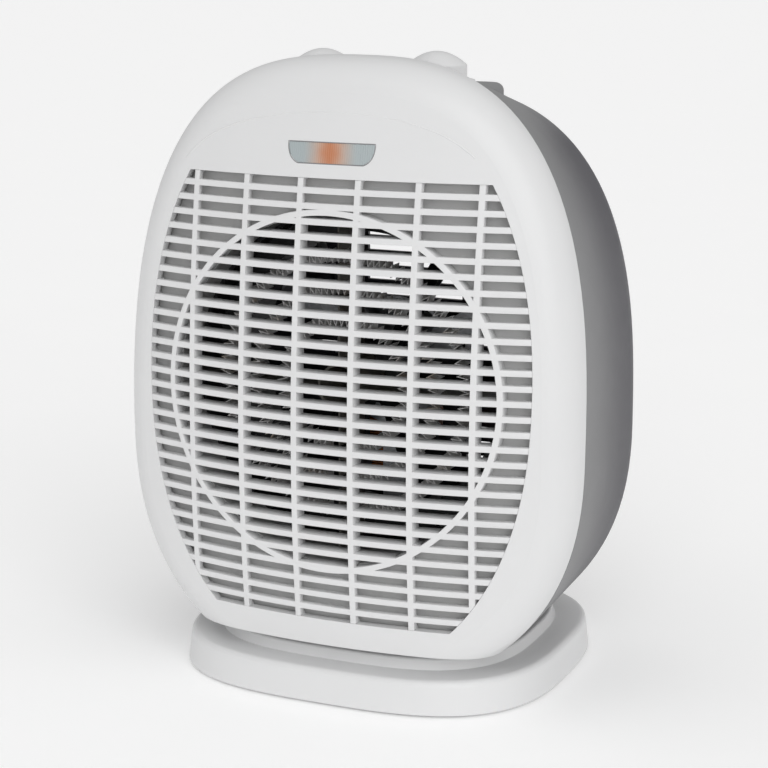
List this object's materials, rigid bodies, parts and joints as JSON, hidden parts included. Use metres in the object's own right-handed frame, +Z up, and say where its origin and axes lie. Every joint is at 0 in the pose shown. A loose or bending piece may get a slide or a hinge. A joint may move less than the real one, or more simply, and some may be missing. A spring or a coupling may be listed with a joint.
{
  "type": "fan heater",
  "caption": "Upright fan convector heater: bulged slatted front with a round duct, grey rear shell with two top knobs, swinging on an oval base.",
  "frame": {"origin": "on the floor, on the swivel axis at the centre of the oval base", "axes": "+Z up along the swivel axis; -Y out of the grille (the front); +X to the right seen from the front"},
  "size_m": [0.2381, 0.1752, 0.3099],
  "materials": {
    "white_plastic": "semi-gloss moulded white, fine texture",
    "grey_plastic": "satin mid grey, fine spark texture",
    "duct_grey": "grey coated sheet",
    "black_plastic": "matt black",
    "rubber": "soft matt",
    "steel": "zinc plated",
    "spring_steel": "dark sprung steel",
    "natural_plastic": "natural nylon",
    "clear_lens": "frosted clear",
    "amber_glass": "lit amber",
    "mica": "layered mica board",
    "heater_alloy": "bright resistance alloy",
    "ceramic_white": "glazed insulator",
    "lamination": "stacked sheet edges",
    "copper_wire": "enamelled winding",
    "cast_aluminium": "as cast",
    "bronze": "sintered",
    "zinc_plate": "galvanised sheet"
  },
  "bodies": {
    "base": {"base_cover": "white_plastic", "base_plate": "black_plastic", "rubber_feet": "rubber", "base_screws": "steel", "swivel_pin": "steel", "swivel_washer": "steel", "swivel_clip": "spring_steel", "glide_ring": "natural_plastic", "tip_switch": "black_plastic"},
    "tip_plunger": {"tip_plunger": "natural_plastic"},
    "head": {"front_shell": "white_plastic", "front_grille": "white_plastic", "indicator_lens": "clear_lens", "rear_shell": "grey_plastic", "air_duct": "duct_grey", "fan_shroud": "black_plastic", "shell_screws": "steel", "duct_screws": "steel", "pilot_lamp": "amber_glass", "lamp_holder": "natural_plastic", "heater_frame": "mica", "heater_ribbons": "heater_alloy", "thermal_cutout": "steel", "thermal_fuse": "ceramic_white", "motor_stator": "lamination", "motor_coil": "copper_wire", "motor_brackets": "cast_aluminium", "motor_bearings": "bronze", "motor_screws": "steel", "motor_mount": "zinc_plate", "control_panel": "white_plastic", "thermostat_body": "ceramic_white", "selector_switch": "black_plastic", "cord_gland": "rubber", "terminal_block": "natural_plastic", "oscillation_motor": "zinc_plate", "drive_screws": "steel"},
    "fan": {"impeller": "black_plastic", "motor_shaft": "steel", "motor_rotor": "cast_aluminium", "impeller_nut": "bronze"},
    "thermostat": {"thermostat_knob": "white_plastic", "thermostat_spindle": "cast_aluminium"},
    "selector": {"selector_knob": "white_plastic", "selector_spindle": "cast_aluminium"},
    "crank": {"crank_disc": "natural_plastic"}
  },
  "joints": [
    {"name": "swing", "type": "hinge", "parent": "base", "child": "head", "pos_m": [0, 0, 0.0255], "axis": [0, 0, 1], "range_deg": [-30, 30]},
    {"name": "crank_turn", "type": "hinge", "parent": "head", "child": "crank", "pos_m": [0, 0.027, 0.03], "axis": [0, 0, 1], "range_deg": [-105, 105]},
    {"name": "fan_spin", "type": "hinge", "parent": "head", "child": "fan", "pos_m": [0, -0.014, 0.1522], "axis": [0, 1, 0], "continuous": true},
    {"name": "thermostat_turn", "type": "hinge", "parent": "head", "child": "thermostat", "pos_m": [-0.0301, -0.0142, 0.3], "axis": [0, 0, 1], "range_deg": [-270, 0]},
    {"name": "selector_turn", "type": "hinge", "parent": "head", "child": "selector", "pos_m": [0.0301, -0.0142, 0.3], "axis": [0, 0, 1], "range_deg": [-135, 0]},
    {"name": "plunger_slide", "type": "slide", "parent": "base", "child": "tip_plunger", "axis": [0, 0, 1], "range_m": [-0.003, 0], "stiffness_N_per_m": 30, "springref_m": -0.006}
  ],
  "couplings": [
    {"joint": "crank_turn", "follows": "swing", "ratio": -3.35}
  ]
}
